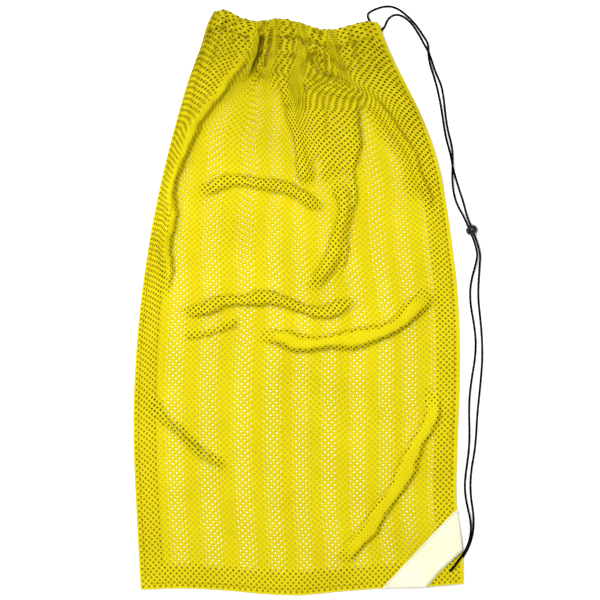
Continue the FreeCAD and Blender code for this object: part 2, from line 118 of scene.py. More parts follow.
# ---- outline of the bag, points in order along each side ----
LEFT_SIDE = [
    (-0.2175, -0.3950), (-0.2228, -0.2993), (-0.2276, -0.1614), (-0.2246, -0.0786), (-0.2172, 0.0041),
    (-0.2052, 0.0869), (-0.1885, 0.1697), (-0.1676, 0.2524), (-0.1504, 0.3100), (-0.1349, 0.3520),
    (-0.1245, 0.3860),
]
RIGHT_SIDE = [
    (0.2270, -0.3862), (0.2255, -0.3400), (0.2179, -0.2750), (0.2186, -0.2028), (0.2216, -0.1200),
    (0.2216, -0.0372), (0.2174, 0.0317), (0.2105, 0.0869), (0.2025, 0.1421), (0.1906, 0.1972),
    (0.1714, 0.2524), (0.1448, 0.3076), (0.1270, 0.3420), (0.1156, 0.3690), (0.1083, 0.3876),
]
TOP_SIDE = [
    (-0.1245, 0.3860), (-0.1140, 0.4018), (-0.0980, 0.4024), (-0.0807, 0.3931), (-0.0586, 0.3876),
    (-0.0255, 0.3910), (0.0021, 0.3852), (0.0297, 0.3766), (0.0517, 0.3766), (0.0738, 0.3834),
    (0.0959, 0.3880), (0.1083, 0.3876),
]
BOTTOM_SIDE = [
    (-0.2175, -0.3950), (-0.1621, -0.3931), (-0.1000, -0.3959), (-0.0476, -0.4008), (0.0021, -0.4024),
    (0.0572, -0.3974), (0.1152, -0.3931), (0.1772, -0.3903), (0.2270, -0.3862),
]
# Edges of the white band across the lower right corner.
BAND_UPPER = [
    (0.2192, -0.2830), (0.1810, -0.3220), (0.1480, -0.3580), (0.1146, -0.3936),
]
BAND_LOWER = [
    (0.2258, -0.3416), (0.2110, -0.3546), (0.1930, -0.3714), (0.1770, -0.3908),
]

# ---- the cloth ----
BAG_TALL = 0.790                # bottom seam to mouth, along the middle
BOTTOM_WIDE = 0.450             # width of a panel as it was cut
COLUMN = 0.00793                # distance between holes along a row of the net
ROW = 0.00395                   # distance between rows, each shifted by half a column
COLUMNS = BOTTOM_WIDE / COLUMN  # number of columns across a panel
HOLE = 0.00168                  # radius of a hole of the front panel
BACK_HOLE = 0.00094             # the back is pulled tighter, so its holes are smaller,
TIGHT_HOLE = 0.00050            # above all where the front stands off it
STANDS_OFF = (0.0014, 0.0030)   # heights of the front between which they get that small
UPPER_CLOSER = 0.22             # share by which the back's holes are smaller in its upper half
UPPER_HALF = (0.48, 0.68)       # shares of the length between which they get so
HEM_HOLE = 0.00135              # gathering draws the hems' holes together
RIM = 12                        # points round a hole, three to each side of its cell
HOLE_VARIES = 0.05              # share by which a hole's size varies
COLUMN_VARIES = 0.012           # how far a hole is off its place, in columns
ROW_VARIES = 0.020              # and in rows
EDGE_MARGIN = 0.0006            # cloth left between a hole and an edge
LEAST_AREA = 1e-9               # triangles smaller than this are left out
RIB_RISE = 0.00018              # the ribs are this much higher than the holes' rims
HEM_START = 0.967               # share of the length where the hems begin
SEAM_SHARE = 0.066              # share of the width taken by a side seam allowance
BOTTOM_SHARE = 0.034            # share of the length taken by the bottom allowance
SEAM_FADE = 0.012               # share over which the front comes down beside a seam
ROW_DROOP = 0.040               # rows hang this share of the length lower at the sides,
DROOP_SPAN = (0.35, 0.80)       # more and more between these shares of the length
BACK_LOW = 0.0003               # height of the back panel
FRONT_LOW = 0.0006              # height of the front panel where it lies on the back
FRONT_EDGE = 0.0032             # the same over the seam allowances
CORNER_LIFT = 0.0036            # the cord passes under the lower right corner
LIFT_FULL = 0.050               # up to this distance from the corner the bag is fully lifted,
LIFT_END = 0.110                # and from this one on it isn't
MOUTH_SIDE = 0.0085             # height of the front panel's top edge at the seams
MOUTH_RISE = 0.0060             # and how much more in the middle of the mouth
MOUTH_SLOPE = 0.3               # share of the width, from each side, over which it rises
MOUTH_START = 0.88              # share of the length where the front begins to rise
MOUTH_FOLDS = 0.5               # folds lose this share of their height up to the mouth
STRIPES = [-0.1703, -0.1234, -0.0752, -0.0352, 0.0034, 0.0421, 0.0821, 0.1207, 0.1524]
STRIPE_STEP = 0.04            # beyond the last stripe
STRIPE_HOLD = 0.6              # how far the two nets stay in line across a stripe, 0 to 1
BACK_ROW_SHIFT = 0.15           # the back's rows lie this share of a row lower than the front's,
MORE_SHIFT = 0.35               # and this much more towards the mouth,
MORE_SPAN = (0.8, 0.9)        # above these shares of the length

# Folds of the front panel: crest line, height, half width of the crest, width of the flank
# on the left and on the right hand when walking along the line.
FOLDS = {
    "gather_left": ([(-0.067, 0.374), (-0.071, 0.352), (-0.083, 0.324), (-0.106, 0.294), (-0.13, 0.261),
                     (-0.151, 0.228), (-0.166, 0.194), (-0.173, 0.153), (-0.176, 0.106), (-0.18, 0.057),
                     (-0.184, 0.004)], 0.0125, 0.002, 0.007, 0.014),
    "crease_middle": ([(-0.027, 0.319), (-0.017, 0.28), (-0.003, 0.239), (0.001, 0.2), (0.013, 0.156)],
                      0.0075, 0.003, 0.016, 0.006),
    "crease_small": ([(0.002, 0.332), (0.006, 0.294), (-0.002, 0.259)], 0.006, 0.001, 0.007, 0.007),
    "arm_upper_left": ([(-0.143, 0.156), (-0.101, 0.166), (-0.067, 0.168), (-0.032, 0.164),
                        (-0.001, 0.15), (0.039, 0.131)], 0.0075, 0.004, 0.006, 0.009),
    "centre": ([(0.052, 0.172), (0.059, 0.142), (0.059, 0.112), (0.049, 0.076), (0.031, 0.046),
                (0.016, 0.017)], 0.01, 0.003, 0.018, 0.007),
    "right_upright": ([(0.081, 0.287), (0.082, 0.239), (0.077, 0.19), (0.074, 0.142), (0.067, 0.101),
                       (0.06, 0.059), (0.054, 0.026)], 0.0055, 0.001, 0.006, 0.006),
    "shoulder_left": ([(-0.002, 0.319), (0.021, 0.303), (0.049, 0.291), (0.074, 0.288), (0.093, 0.297)],
                      0.0065, 0.002, 0.005, 0.009),
    "shoulder_right": ([(0.088, 0.291), (0.118, 0.261), (0.146, 0.222), (0.166, 0.178), (0.181, 0.126)],
                       0.007, 0.002, 0.006, 0.01),
    "arm_lower_left": ([(-0.169, -0.015), (-0.122, -0.004), (-0.083, 0.004), (-0.046, 0.007),
                        (-0.012, -0.003), (0.019, -0.011), (0.05, -0.008), (0.082, 0.004)],
                       0.009, 0.005, 0.006, 0.006),
    "smile": ([(-0.056, -0.04), (-0.019, -0.05), (0.023, -0.055), (0.064, -0.052), (0.119, -0.036),
               (0.157, -0.011), (0.184, 0.026)], 0.0115, 0.004, 0.01, 0.012),
    "foot_left": ([(-0.205, -0.123), (-0.187, -0.153), (-0.163, -0.177), (-0.133, -0.201),
                   (-0.097, -0.23)], 0.005, 0.001, 0.01, 0.014),
    "foot_right": ([(0.187, -0.112), (0.18, -0.159), (0.158, -0.21), (0.132, -0.258), (0.099, -0.306),
                    (0.054, -0.364)], 0.0075, 0.006, 0.008, 0.006),
    "small_left": ([(-0.158, -0.043), (-0.115, -0.039), (-0.081, -0.026)],
                   0.004, 0.002, 0.006, 0.006),
}
# Folds whose crest is pinched, so that the holes there are nearly closed.
PINCHED = {"smile": 0.0050, "foot_right": 0.0055, "gather_left": 0.0015}
PINCH = 0.72                    # share of a hole's radius that goes
# Places where the front panel stands off the back one, given in the same way. They add to the folds.
SWELLS = {
    "right_shoulder": ([(0.05, 0.32), (0.105, 0.3), (0.14, 0.255), (0.168, 0.205), (0.188, 0.14)],
                       0.0055, 0.018, 0.014, 0.022),
    "left_margin": ([(-0.112, 0.35), (-0.142, 0.285), (-0.172, 0.22), (-0.192, 0.14), (-0.202, 0.06)],
                    0.005, 0.014, 0.014, 0.012),
    "middle": ([(0.000, 0.345), (0.014, 0.29), (0.026, 0.235), (0.034, 0.19)],
               0.005, 0.01, 0.012, 0.012),
    "patch": ([(0.046, 0.315), (0.06, 0.28), (0.062, 0.23), (0.052, 0.195), (0.052, 0.165)],
              0.005, 0.016, 0.012, 0.01),
    "neck": ([(-0.125, 0.352), (-0.06, 0.35), (0.01, 0.345), (0.07, 0.345), (0.13, 0.345)],
             0.0055, 0.022, 0.02, 0.022),
}
# Slits between pleats, where the cloth dips deep, given in the same way.
SLITS = {
    "left_slit": ([(-0.049, 0.38), (-0.052, 0.364), (-0.056, 0.346), (-0.061, 0.324), (-0.07, 0.3),
                   (-0.084, 0.282)], 0.018, 0.0009, 0.0034, 0.003),
    "small_slit": ([(-0.0385, 0.378), (-0.0405, 0.36), (-0.043, 0.34), (-0.044, 0.322)],
                   0.0055, 0.0004, 0.003, 0.003),
    "middle_slit": ([(0.03, 0.352), (0.015, 0.336), (0.006, 0.318)], 0.006, 0.0005, 0.005, 0.005),
    "arch": ([(-0.0255, 0.36), (-0.014, 0.366), (-0.002, 0.367), (0.009, 0.349)],
             0.006, 0.0006, 0.0035, 0.0035),
    "right_crease": ([(0.009, 0.346), (0.0297, 0.321), (0.0572, 0.3048), (0.0779, 0.2979)],
                     0.006, 0.0006, 0.0045, 0.0035),
    "upper_crease": ([(0.0393, 0.36), (0.0503, 0.3324), (0.0779, 0.3145)],
                     0.005, 0.0006, 0.004, 0.004),
    "left_crease": ([(-0.0517, 0.3214), (-0.0393, 0.2841), (-0.0159, 0.2662), (-0.009, 0.2772)],
                    0.005, 0.0006, 0.004, 0.004),
    "foot_left_line": ([(-0.186, -0.153), (-0.166, -0.174), (-0.14, -0.195), (-0.112, -0.216)],
                       0.004, 0.0006, 0.0018, 0.0018),
}
SLIT_LOW = 0.0012               # height that no slit goes below
FOLD_FADE = 0.16                # share of a fold's length over which each end dies away
LINE_PARTS = 28                 # points that a fold's smooth line is cut into
WANDER = 0.0026                 # how far the outline of a fold wanders in long waves,
TREMBLE = 0.0006                # and in short ones
PINCH_FADE = 0.004              # over what distance the holes beside a pinched crest open up
SWELL_HIGH = 0.0002             # height of the slow unevenness of loose cloth
CRUMPLE = 0.0017                # height of the small creases near the mouth
CRUMPLE_SPAN = (0.85, 0.94)     # shares of the length between which they grow
LOOSE_TOP = 0.020               # heights above this are eased,
HIGHEST = 0.0275                # so that none passes this

# Gathers of the mouth: share of the width, half width as a share, height, how far down the
# bag they reach as a share of its length, and how far they drift to the right, as a share of the
# width, on each tenth of the length on the way down.
GATHERS = [
    (0.05, 0.02, 0.006, 0.07, -0.01), (0.125, 0.018, 0.008, 0.1, -0.02),
    (0.2, 0.015, 0.0085, 0.08, -0.03), (0.262, 0.014, 0.007, 0.06, -0.03),
    (0.345, 0.014, 0.0085, 0.08, 0.00), (0.415, 0.017, 0.008, 0.12, 0.00),
    (0.49, 0.015, 0.009, 0.09, 0.01), (0.56, 0.016, 0.0085, 0.11, 0.02),
    (0.64, 0.016, 0.008, 0.08, 0.03), (0.715, 0.018, 0.007, 0.07, 0.03),
    (0.8, 0.02, 0.006, 0.07, 0.03), (0.9, 0.02, 0.005, 0.05, 0.02),
]
GATHER_KEEPS = 0.03             # share of the length over which they keep their height


# ---- plan ----
def smooth(t):
    t = np.clip(t, 0.0, 1.0)
    return t * t * (3 - 2 * t)


def between(value, low, high):
    """0 up to low, 1 from high on, and a smooth change between the two."""
    return smooth((value - low) / (high - low))


def run_along(points):
    """How far along the line each of its points is."""
    return np.concatenate([[0], np.cumsum(np.linalg.norm(np.diff(points, axis=0), axis=1))])


def points_on(line, away, at):
    """The points of a line at the distances in at."""
    return np.stack([np.interp(at, away, line[:, k]) for k in range(3)], axis=-1)


def smooth_line(points):
    """Smooth line through the points, as a function of the share of its length."""
    p = np.array(points, float)
    shares = run_along(p)
    shares /= shares[-1]
    slopes = np.gradient(p, shares, axis=0)

    def at(share):
        share = np.clip(share, 0.0, 1.0)
        i = np.clip(np.searchsorted(shares, share, side="right") - 1, 0, len(p) - 2)
        gap = shares[i + 1] - shares[i]
        t = ((share - shares[i]) / gap)[..., None]
        gap = gap[..., None]
        return (p[i] * (2 * t**3 - 3 * t**2 + 1) + slopes[i] * gap * (t**3 - 2 * t**2 + t)
                + p[i + 1] * (3 * t**2 - 2 * t**3) + slopes[i + 1] * gap * (t**3 - t**2))

    return at


left_side, right_side = smooth_line(LEFT_SIDE), smooth_line(RIGHT_SIDE)
top_side, bottom_side = smooth_line(TOP_SIDE), smooth_line(BOTTOM_SIDE)


def plan(u, v):
    """X and Y on the bag: u runs across from the left seam, v up from the bottom seam."""
    u, v = np.clip(u, 0, 1)[..., None], np.clip(v, 0, 1)[..., None]
    corners = [np.array(p) for p in (BOTTOM_SIDE[0], BOTTOM_SIDE[-1], TOP_SIDE[0], TOP_SIDE[-1])]
    twist = ((corners[0] * (1 - u) + corners[1] * u) * (1 - v)
             + (corners[2] * (1 - u) + corners[3] * u) * v)
    p = (left_side(v[..., 0]) * (1 - u) + right_side(v[..., 0]) * u
         + bottom_side(u[..., 0]) * (1 - v) + top_side(u[..., 0]) * v - twist)
    return p[..., 0], p[..., 1]


def width_at(v):
    return right_side(v)[..., 0] - left_side(v)[..., 0]


SEARCH_STEPS = 40


def shares_at(x, y):
    """The u and v of points of the plan."""
    u, v = np.full(x.shape, 0.5), np.full(x.shape, 0.5)
    for _ in range(SEARCH_STEPS):
        px, py = plan(u, v)
        u = np.clip(u + (x - px) / width_at(v), 0, 1)
        v = np.clip(v + (y - py) / BAG_TALL, 0, 1)
    return u, v


# ---- heights ----
def corner_lift(x, y):
    away = np.hypot(x - RIGHT_SIDE[0][0], y - RIGHT_SIDE[0][1])
    return CORNER_LIFT * (1 - between(away, LIFT_FULL, LIFT_END))


def over_seams(u, v):
    """1 over the seam allowances, 0 inside them."""
    side = smooth((SEAM_SHARE + SEAM_FADE - np.minimum(u, 1 - u)) / SEAM_FADE)
    return np.maximum(side, smooth((BOTTOM_SHARE + SEAM_FADE - v) / SEAM_FADE))


def fold_height(x, y, line, high, crest, left, right):
    """Height of one fold at the points: a crest with a flank on each side."""
    z = np.zeros(x.shape)
    points = smooth_line(line)(np.linspace(0, 1, LINE_PARTS))
    reach = crest + max(left, right)
    low, top = points.min(0) - reach, points.max(0) + reach
    near = (x > low[0]) & (x < top[0]) & (y > low[1]) & (y < top[1])
    px, py = x[near], y[near]
    best = np.full(px.shape, 1.0)
    side, share = np.zeros(px.shape), np.zeros(px.shape)
    for i, (a, b) in enumerate(zip(points, points[1:])):
        run = b - a
        t = np.clip(((px - a[0]) * run[0] + (py - a[1]) * run[1]) / (run @ run), 0, 1)
        dx, dy = px - a[0] - run[0] * t, py - a[1] - run[1] * t
        away = np.hypot(dx, dy)
        closer = away < best
        best = np.where(closer, away, best)
        side = np.where(closer, np.sign(run[0] * dy - run[1] * dx), side)
        share = np.where(closer, (i + t) / (len(points) - 1), share)
    flank = np.where(side > 0, left, right)
    ends = smooth(share / FOLD_FADE) * smooth((1 - share) / FOLD_FADE)
    z[near] = high * smooth((crest + flank - best) / flank) * ends
    return z


def highest(shapes, x, y):
    """Height of the highest of the shapes, whose outlines wander a little as cloth's do."""
    z = np.zeros(x.shape)
    x, y = (x + WANDER * np.sin(85 * y + 1.3 * np.sin(60 * x)) + TREMBLE * np.sin(330 * y - 200 * x),
            y + WANDER * np.sin(75 * x + 1.7 * np.sin(70 * y)) + TREMBLE * np.sin(310 * x + 240 * y))
    for line, high, crest, left, right in shapes.values():
        z = np.maximum(z, fold_height(x, y, line, high, crest, left, right))
    return z


def gathers(u, v):
    """Pleats of the gathered mouth."""
    z = np.zeros(u.shape)
    for place, wide, high, reach, drift in GATHERS:
        down = 1 - np.clip(v, 0, 1)
        middle = place + drift * down * 10
        strength = smooth((reach + GATHER_KEEPS - down) / reach)
        z += high * strength * np.exp(-((u - middle) / wide) ** 2)
    return z


def eased(z):
    over, room = np.maximum(z - LOOSE_TOP, 0), HIGHEST - LOOSE_TOP
    return np.minimum(z, LOOSE_TOP) + room * (1 - np.exp(-over / room))


def crumple(v, x, y):
    """Small creases of the cloth that is pushed together at the mouth."""
    across = np.sin(210 * x + 60 * y + 1.7 * np.sin(90 * y))
    along = np.sin(170 * y - 50 * x + 2.1 * np.sin(70 * x))
    slanted = 0.6 * np.sin(340 * x - 190 * y + 2.0 * np.sin(120 * x + 60 * y))
    return CRUMPLE * (1.2 + across * along + slanted) * between(v, *CRUMPLE_SPAN)


def swell(x, y):
    """Slow unevenness of cloth that lies loose."""
    return SWELL_HIGH * (1 + np.sin(31 * x + 17 * y) * np.sin(23 * y - 11 * x + 1.3))


def front_height(u, v, x, y):
    flat = FRONT_LOW + (FRONT_EDGE - FRONT_LOW) * over_seams(u, v) + swell(x, y) * (1 - over_seams(u, v))
    mouth = MOUTH_SIDE + MOUTH_RISE * smooth(np.minimum(u, 1 - u) / MOUTH_SLOPE)
    risen = between(v, MOUTH_START, HEM_START)
    z = flat + (mouth - flat) * risen
    folds = highest(FOLDS, x, y) + highest(SWELLS, x, y)
    z = eased(z + folds * (1 - MOUTH_FOLDS * risen) + gathers(u, v) + crumple(v, x, y) + corner_lift(x, y))
    return np.minimum(z, np.maximum(z - highest(SLITS, x, y), SLIT_LOW))


def back_height(u, v, x, y):
    return BACK_LOW + corner_lift(x, y) + 0 * u


# ---- how the net lies on the plan ----
GRID_U, GRID_V = 241, 401


def sample(grids, u, v):
    """Values of grids over u and v in [0, 1] at the points, by bilinear interpolation."""
    n, m = grids.shape[1:]
    i, j = np.clip(u, 0, 1) * (n - 1), np.clip(v, 0, 1) * (m - 1)
    i0, j0 = np.minimum(i.astype(int), n - 2), np.minimum(j.astype(int), m - 2)
    s, t = i - i0, j - j0
    return ((grids[:, i0, j0] * (1 - s) + grids[:, i0 + 1, j0] * s) * (1 - t)
            + (grids[:, i0, j0 + 1] * (1 - s) + grids[:, i0 + 1, j0 + 1] * s) * t)


# Creases that swallow the cloth that the narrow mouth has no room for: how wide each is at the mouth,
# and its part of the whole. Further down they spread out.
LEFT_TUCK = [(-0.050, 0.390), (-0.056, 0.349), (-0.066, 0.314), (-0.090, 0.287), (-0.117, 0.259),
             (-0.145, 0.232), (-0.170, 0.190), (-0.178, 0.120)]
SMALL_TUCK = [(-0.033, 0.385), (-0.036, 0.345), (-0.045, 0.305), (-0.040, 0.250)]
MIDDLE_TUCK = [(0.004, 0.388), (0.006, 0.345), (-0.004, 0.290), (0.003, 0.239), (0.007, 0.200),
               (0.013, 0.156)]
RIGHT_TUCK = [(0.046, 0.380), (0.052, 0.335), (0.066, 0.310), (0.110, 0.280), (0.146, 0.222),
              (0.181, 0.126)]
TAKEN_UP = [(LEFT_TUCK, 0.0060, 1.0), (SMALL_TUCK, 0.0050, 0.6), (MIDDLE_TUCK, 0.0060, 0.9),
            (RIGHT_TUCK, 0.0070, 0.6)]
TUCK_SPREAD = 0.045             # they get this much wider
TUCK_SPAN = (0.05, 0.34)        # between these places along the bag
TUCK_PARTS = 40                 # points that a crease's smooth line is cut into


def taken_up(u, v):
    """Extra cloth at each place across the bag, which the gathers swallow towards the mouth."""
    missing = np.clip(BOTTOM_WIDE / width_at(v) - 1, 0, None)
    pleats = np.zeros(u.shape)
    x, y = plan(u, v)
    spread = TUCK_SPREAD * (1 - between(y, *TUCK_SPAN))
    for line, narrow, amount in TAKEN_UP:
        path = smooth_line(line)(np.linspace(0, 1, TUCK_PARTS))
        middle = np.interp(y, path[::-1, 1], path[::-1, 0])
        wide = narrow + spread
        pleats += amount / wide * np.exp(-((x - middle) / wide) ** 2)
    share = pleats / np.maximum(pleats.mean(axis=0, keepdims=True), 1e-6)
    return 1 + missing * share


STEEP = 1.2                     # slopes above this take up no more cloth


def softened(z, times):
    for _ in range(times):
        z = np.pad(z, 1, mode="edge")
        z = (4 * z[1:-1, 1:-1] + 2 * (z[2:, 1:-1] + z[:-2, 1:-1] + z[1:-1, 2:] + z[1:-1, :-2])
             + z[2:, 2:] + z[2:, :-2] + z[:-2, 2:] + z[:-2, :-2]) / 16
    return z


def shares_of(cloth):
    """Turns amounts of cloth along the first axis into the place of each share of the whole."""
    cloth = np.cumsum(cloth, axis=0)
    cloth = (cloth - cloth[:1]) / (cloth[-1:] - cloth[:1])
    even = np.linspace(0, 1, len(cloth))
    return np.stack([np.interp(even, column, even) for column in cloth.T], axis=1)


def lay(height=None):
    """Places of the cut cloth's grid on the bag: gathers and slopes take up more cloth."""
    u, v = np.meshgrid(np.linspace(0, 1, GRID_U), np.linspace(0, 1, GRID_V), indexing="ij")
    across, along = taken_up(u, v), np.ones(u.shape)
    if height is not None:
        x, y = plan(u, v)
        z = softened(height(u, v, x, y), 2)
        slope_x = np.gradient(z, axis=0) * (GRID_U - 1) / width_at(v)
        slope_y = np.gradient(z, axis=1) * (GRID_V - 1) / BAG_TALL
        across = across * np.hypot(1, np.clip(slope_x, -STEEP, STEEP))
        along = softened(np.hypot(1, np.clip(slope_y, -STEEP, STEEP)), 12)
    u = shares_of(across)
    return np.stack([u, sample(shares_of(along.T).T[None], u, v)[0]])


# ---- nets ----
def new_object(name, data):
    made = bpy.data.objects.new(name, data)
    bpy.context.scene.collection.objects.link(made)
    return made


def new_mesh(name, verts, faces):
    mesh = bpy.data.meshes.new(name)
    mesh.from_pydata([tuple(p) for p in verts], [], faces)
    mesh.validate()
    mesh.shade_smooth()
    return new_object(name, mesh)


def net_cells(columns, rows):
    """Centres of the holes of a staggered net, in half columns and rows."""
    c, q = np.mgrid[columns[0]:columns[1] + 1, rows[0]:rows[1] + 1]
    chosen = (c + q) % 2 == 0
    return c[chosen], q[chosen]


MORE_THAN_ROWS = 100000         # makes one number of a column and a row


def net(name, columns, rows, to_share, to_space, limits, seed, hole=HOLE, cut_through=(0, 0)):
    """Net of round holes: to_share turns columns and rows into shares of the cloth, limits
    are the lowest and highest shares, and to_space turns shares into points. hole is a radius,
    or turns shares into radii. cut_through says for the lower and the upper edge whether it
    runs through the holes, as where the cloth goes on."""
    chance = np.random.default_rng(seed)
    c, q = net_cells(columns, rows)
    angles = 2 * math.pi * np.arange(RIM) / RIM
    if callable(hole):
        hole = hole(*to_share(c / 2, q))
    size = (hole * (1 + chance.uniform(-HOLE_VARIES, HOLE_VARIES, c.shape)))[:, None]
    off_c = chance.normal(0, COLUMN_VARIES, c.shape)[:, None]
    off_q = chance.normal(0, ROW_VARIES, c.shape)[:, None]
    rim_c = c[:, None] / 2 + off_c + size * np.cos(angles) / COLUMN
    rim_q = q[:, None] + off_q + size * np.sin(angles) / ROW
    corner_c = c[:, None] + np.array([1, 0, -1, 0])
    corner_q = q[:, None] + np.array([0, 1, 0, -1])
    low, high = np.array(limits[0])[:, None, None], np.array(limits[1])[:, None, None]
    corner = np.stack(to_share(corner_c / 2, corner_q))
    rim = np.stack(to_share(rim_c, rim_q))
    margin = EDGE_MARGIN / BOTTOM_WIDE
    middle = rim[1].mean(axis=1, keepdims=True)
    clear = (rim > low + margin) & (rim < high - margin)
    if cut_through[0]:
        clear[1] |= (middle > low[1]) & (middle < high[1] - ROW / BAG_TALL)
    if cut_through[1]:
        clear[1] |= (middle < high[1]) & (middle > low[1] + ROW / BAG_TALL)
    within = clear.all(axis=(0, 2))
    below = (corner <= low).all(axis=2).any(axis=0)
    above = (corner >= high).all(axis=2).any(axis=0)
    used = ~(below | above)
    keys = corner_c.astype(np.int64) * MORE_THAN_ROWS + corner_q
    names, index = np.unique(keys[used], return_inverse=True)
    index = index.reshape(-1, 4)
    first = np.zeros(len(names), int)
    first[index.ravel()] = np.arange(index.size)
    shared = np.clip(corner, low, high)[:, used].reshape(2, -1)[:, first]
    holes = within[used]
    rims = np.clip(rim, low, high)[:, used][:, holes].reshape(2, -1)
    place = to_space(*np.concatenate([shared, rims], axis=1))
    place[:len(names), 2] += RIB_RISE
    ring = len(names) + np.arange(holes.sum() * RIM).reshape(-1, RIM)
    k = index[holes]
    faces = []
    for side in range(4):
        j = RIM // 4 * side
        a, b = k[:, side], k[:, (side + 1) % 4]
        at, after, before, beyond = (ring[:, (j + step) % RIM] for step in (0, 1, -1, 2))
        for corners in ((a, after, at), (a, at, before), (a, b, beyond), (a, beyond, after)):
            faces += triangles(np.stack(corners, axis=1), place)
    whole = index[~holes]
    faces += triangles(whole[:, [0, 1, 2]], place) + triangles(whole[:, [2, 3, 0]], place)
    return new_mesh(name, place, faces)


def triangles(found, place):
    """The triangles that have some area."""
    a, b, c = (place[found[:, i]] for i in range(3))
    area = np.linalg.norm(np.cross(b - a, c - a), axis=1) / 2
    return found[area > LEAST_AREA].tolist()


def laid(lie, height):
    """Function from shares of the cloth to points of the bag."""
    def to_space(a, b):
        u, v = sample(lie, a, b)
        x, y = plan(u, v)
        return np.stack([x, y, height(u, v, x, y)], axis=1)

    return to_space


def row_share(column_share, row):
    """Share of the bag's length of a row: rows hang lower towards the side seams near the mouth."""
    straight = row * ROW / BAG_TALL
    return straight - ROW_DROOP * between(straight, *DROOP_SPAN) * (2 * column_share - 1) ** 2


def whole_rows():
    """First and last row that reach over the whole length of a panel."""
    return (-2, int((1 + ROW_DROOP) * BAG_TALL / ROW) + 2)


def front_panel(lie):
    pinches = {name: (FOLDS[name][0], PINCH, wide, PINCH_FADE, PINCH_FADE)
               for name, wide in PINCHED.items()}

    def hole(a, b):
        return HOLE * (1 - highest(pinches, *plan(*sample(lie, a, b))))

    def to_share(column, row):
        a = column / COLUMNS
        return a, row_share(a, row)

    return net("front_net", (-2, 2 * int(COLUMNS) + 4), whole_rows(), to_share,
               laid(lie, front_height), ((0, 0), (1, HEM_START)), 11, hole, cut_through=(0, 1))


PAST_EDGE = 0.02                # the table goes this share of the width past each side seam
OUTER_COLUMN = 0.02             # share of the width of each column past the table's ends


def back_columns():
    """Table from the back's own columns to shares of the cloth. Its holes fall in line with the
    front's along the stripes."""
    share = np.linspace(-PAST_EDGE, 1 + PAST_EDGE, 600)
    x = LEFT_SIDE[2][0] + share * (RIGHT_SIDE[4][0] - LEFT_SIDE[2][0])
    stripes = [STRIPES[0] - STRIPE_STEP, *STRIPES, STRIPES[-1] + STRIPE_STEP,
               STRIPES[-1] + 2 * STRIPE_STEP]
    passed = np.interp(x, stripes, np.arange(len(stripes)))
    passed -= STRIPE_HOLD * np.sin(2 * math.pi * passed) / (2 * math.pi)
    return share * COLUMNS - passed, share


def back_panel(lie):
    columns, shares = back_columns()

    def to_share(column, row):
        outside = np.minimum(column - columns[0], 0) + np.maximum(column - columns[-1], 0)
        a = np.interp(column, columns, shares) + outside * OUTER_COLUMN
        more = MORE_SHIFT * between(row * ROW / BAG_TALL, *MORE_SPAN)
        return a, row_share(a, row - BACK_ROW_SHIFT - more)

    def hole(a, b):
        u, v = sample(lie, a, b)
        off = between(front_height(u, v, *plan(u, v)), *STANDS_OFF)
        wide = BACK_HOLE * (1 - UPPER_CLOSER * between(v, *UPPER_HALF))
        return wide + (TIGHT_HOLE - wide) * off

    ends = (2 * int(columns[0]) - 4, 2 * int(columns[-1]) + 2)
    return net("back_net", ends, whole_rows(), to_share, laid(lie, back_height),
               ((0, 0), (1, HEM_START)), 12, hole, cut_through=(0, 1))


# ---- hems, seam allowances ----
HEM_CUT = 0.330                 # length of the strip that each hem is made from
HEM_TALL = 0.0275               # width of that strip once it's folded
HEM_THICK = 0.0050              # of the folded hem where it's fullest
HEM_THIN = 0.0003               # half the hem's thickness at its edges
HEM_GETS_THICK = 0.6            # shares of its height, from the stitched edge
HEM_GETS_THIN = 0.4             # and from the mouth, over which its thickness changes
CORD_ROOM = 0.0022              # from the cord's middle to the hem round it
CORD_KEEPS_OFF = (0.25, 0.20)   # shares of the height next to the edges that lie closer
BACK_HEM_LOW = 0.0004           # the back hem's underside
BACK_GATHERS = 0.25             # its gathers are lower than the front's
GATHER_SHIFT = 0.03             # and lie this share of the width to the left of them
STITCHED_AT = 0.07              # share of the height where the stitching runs
STITCHED_SPAN = (0.03, 0.97)    # shares of the width between which it runs


def hem_front(a, b, lie, base):
    """Plan and middle height of a hem, and half its thickness: a runs along it, and b from 0 at
    its stitched edge to 1 at the mouth."""
    v = HEM_START + (1 - HEM_START) * b
    u, _ = sample(lie, a, v)
    x, y = plan(u, v)
    thin = np.sqrt(np.clip((1 - b) / HEM_GETS_THIN, 0, 1))
    puff = HEM_THICK / 2 * smooth(b / HEM_GETS_THICK) * thin
    return x, y, base(u, v, x, y), np.maximum(puff, HEM_THIN)


def hem(name, lie, base, strand, seed):
    """Folded hem round a strand of the cord: shares b from 0 to 1 go up its front and from 1 to 2
    down its underside."""
    strand = np.array(sorted(strand))

    def to_share(column, row):
        return column * COLUMN / HEM_CUT, (row - 0.5) * ROW / HEM_TALL

    def to_space(a, b):
        up = np.where(b < 1, b, 2 - b)
        x, y, middle, puff = hem_front(a, up, lie, base)
        cord = np.interp(x, strand[:, 0], strand[:, 2])
        round_cord = smooth(up / CORD_KEEPS_OFF[0]) * smooth((1 - up) / CORD_KEEPS_OFF[1])
        top = middle + puff + round_cord * np.maximum(cord + CORD_ROOM - middle - puff, 0)
        low = middle - puff - round_cord * np.maximum(middle - puff - cord + CORD_ROOM, 0)
        return np.stack([x, y, np.maximum(np.where(b < 1, top, low), BACK_LOW)], axis=1)

    rows = (-2, int(2 * HEM_TALL / ROW) + 3)
    return net(name, (-2, 2 * int(HEM_CUT / COLUMN) + 4), rows, to_share, to_space,
               ((0, 0), (1, 2)), seed, HEM_HOLE, cut_through=(1, 1))


def front_hem(lie):
    return hem("front_hem_net", lie, front_height, CHANNEL_ROUTE[12:], 13)


